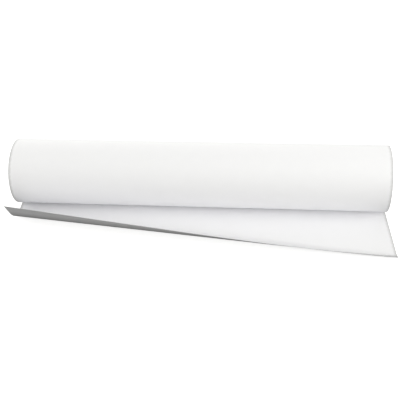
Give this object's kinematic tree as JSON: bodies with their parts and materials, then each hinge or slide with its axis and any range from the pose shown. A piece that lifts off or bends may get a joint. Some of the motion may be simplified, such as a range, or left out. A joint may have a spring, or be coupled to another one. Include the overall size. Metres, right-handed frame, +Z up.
{
  "type": "backdrop paper roll",
  "caption": "Roll of white seamless backdrop paper on a hollow paperboard core, lying flat with its free end paid out and curling up at one front corner.",
  "frame": {"origin": "centre of the core's bore, midway along the roll", "axes": "+X along the roll's axis, +Z up, the free end of the sheet leaves the bottom of the roll towards -Y"},
  "size_m": [0.6676, 0.2041, 0.1161],
  "materials": {
    "backdrop_paper": "matte, uncoated",
    "core_board": "matte kraft",
    "masking_tape": "crepe, satin"
  },
  "bodies": {
    "last_turn": {"outer_turn": "backdrop_paper"},
    "roll": {"core_liner_ply": "core_board", "core_body_ply_1": "core_board", "core_body_ply_2": "core_board", "core_body_ply_3": "core_board", "core_face_ply": "core_board", "core_tape": "masking_tape", "wound_paper": "backdrop_paper"},
    "tail": {"tail_sheet": "backdrop_paper"},
    "curl_1": {"tail_curl_1": "backdrop_paper"},
    "curl_2": {"tail_curl_2": "backdrop_paper"},
    "curl_3": {"tail_curl_3": "backdrop_paper"},
    "curl_4": {"tail_curl_4": "backdrop_paper"}
  },
  "joints": [
    {"name": "roll_turn", "type": "hinge", "parent": "last_turn", "child": "roll", "pos_m": [0, 0, 0], "axis": [-1, 0, 0], "range_deg": [0, 360]},
    {"name": "pay_out", "type": "slide", "parent": "last_turn", "child": "tail", "axis": [0, -1, 0], "range_m": [0, 0.37]},
    {"name": "curl_bend_1", "type": "hinge", "parent": "tail", "child": "curl_1", "pos_m": [0.00369, -0.0879, -0.05779], "axis": [-0.9923, 0.124, 0], "range_deg": [-6, 5], "stiffness_Nm_per_rad": 1.5},
    {"name": "curl_bend_2", "type": "hinge", "parent": "curl_1", "child": "curl_2", "pos_m": [0.00408, -0.09578, -0.05696], "axis": [-0.9923, 0.124, 0], "range_deg": [-12, 10]},
    {"name": "curl_bend_3", "type": "hinge", "parent": "curl_2", "child": "curl_3", "pos_m": [0.00456, -0.10444, -0.05415], "axis": [-0.9923, 0.124, 0], "range_deg": [-14, 12]},
    {"name": "curl_bend_4", "type": "hinge", "parent": "curl_3", "child": "curl_4", "pos_m": [0.0055, -0.11743, -0.04605], "axis": [-0.9923, 0.124, 0], "range_deg": [-16, 13.5]}
  ],
  "couplings": [
    {"joint": "pay_out", "follows": "roll_turn", "m_per_rad": 0.0581},
    {"joint": "curl_bend_2", "follows": "curl_bend_1", "ratio": 2},
    {"joint": "curl_bend_3", "follows": "curl_bend_1", "ratio": 2.32},
    {"joint": "curl_bend_4", "follows": "curl_bend_1", "ratio": 2.64}
  ]
}
